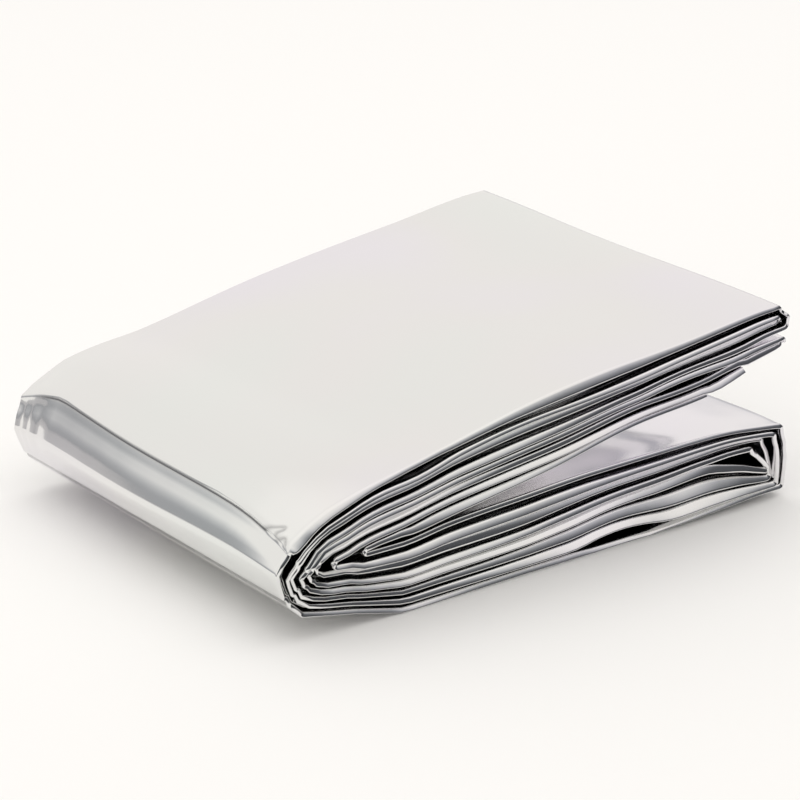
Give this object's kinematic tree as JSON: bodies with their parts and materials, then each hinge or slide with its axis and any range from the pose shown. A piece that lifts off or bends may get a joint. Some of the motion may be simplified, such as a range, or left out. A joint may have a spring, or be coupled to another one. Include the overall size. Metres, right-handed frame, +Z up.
{
  "type": "emergency foil blanket",
  "caption": "Thin metallised rescue blanket, folded into its flat pocket-sized pack and gaping at one end like a book.",
  "frame": {"origin": "middle of the footprint, on the surface the pack lies on", "axes": "+X along the long side, from the folded spine to the open end; +Y from the layered front to the back; +Z up"},
  "size_m": [0.1336, 0.1012, 0.0481],
  "materials": {
    "film": "gloss"
  },
  "bodies": {
    "root": {"foil_blanket": "film"}
  },
  "joints": []
}
